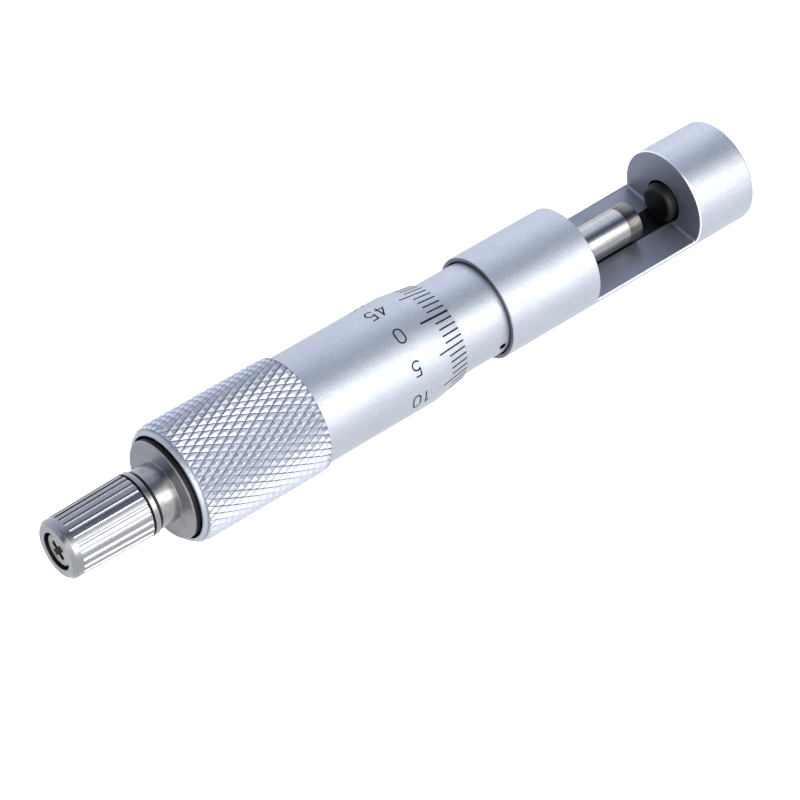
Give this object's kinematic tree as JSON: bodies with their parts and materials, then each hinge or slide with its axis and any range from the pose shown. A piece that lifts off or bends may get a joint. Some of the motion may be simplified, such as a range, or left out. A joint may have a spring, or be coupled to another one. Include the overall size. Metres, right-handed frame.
{
  "type": "wire micrometer",
  "caption": "Hand micrometer for wire: solid round frame with a notch, fixed anvil, screw-driven spindle, graduated sleeve and thimble, and a ratchet knob.",
  "frame": {"origin": "on the spindle axis, at the rear edge of the round frame, where the sleeve goes in", "axes": "+X along the spindle axis towards the anvil, +Z out of the notch (up as it lies), +Y across the notch floor"},
  "size_m": [0.1349, 0.02, 0.02],
  "materials": {
    "satin_chrome": "satin hard chrome on the frame, sleeve and thimble",
    "ground_steel": "ground and lapped",
    "carbide": "dark lapped carbide",
    "polished_steel": "bright turned and plated",
    "screw_steel": "dull zinc-plated screw",
    "inner_steel": "turned steel of the inner parts",
    "spring_steel": "coiled spring wire"
  },
  "bodies": {
    "frame": {"frame": "satin_chrome", "anvil": "carbide", "threaded_bush": "inner_steel", "adjusting_nut": "inner_steel"},
    "sleeve": {"graduated_sleeve": "satin_chrome"},
    "spindle_tip": {"spindle_tip": "carbide"},
    "thimble": {"thimble": "satin_chrome", "spindle": "ground_steel", "taper_connector": "inner_steel", "clamp_washer": "inner_steel", "ratchet_axle": "polished_steel", "ratchet_spring": "spring_steel", "knob_washer": "inner_steel", "knob_screw": "screw_steel"},
    "sliding_ratchet": {"sliding_ratchet": "inner_steel"},
    "knob": {"ratchet_knob": "polished_steel", "ratchet_wheel": "inner_steel"}
  },
  "joints": [
    {"name": "sleeve_zero_set", "type": "hinge", "parent": "frame", "child": "sleeve", "pos_m": [0, 0, 0], "axis": [1, 0, 0], "range_deg": [-15, 15]},
    {"name": "spindle_travel", "type": "slide", "parent": "frame", "child": "spindle_tip", "axis": [1, 0, 0], "range_m": [-0.00415, 0.00585]},
    {"name": "thimble_turn", "type": "hinge", "parent": "spindle_tip", "child": "thimble", "pos_m": [0, 0, 0], "axis": [1, 0, 0], "range_deg": [-2988, 4212]},
    {"name": "ratchet_lift", "type": "slide", "parent": "thimble", "child": "sliding_ratchet", "axis": [1, 0, 0], "range_m": [0, 0.0005], "stiffness_N_per_m": 300, "springref_m": -0.002, "deforming": ["ratchet_spring"]},
    {"name": "ratchet_slip", "type": "hinge", "parent": "thimble", "child": "knob", "pos_m": [-0.07, 0, 0], "axis": [1, 0, 0], "continuous": true}
  ],
  "couplings": [
    {"joint": "spindle_travel", "follows": "thimble_turn", "m_per_rad": 0.000079577}
  ]
}
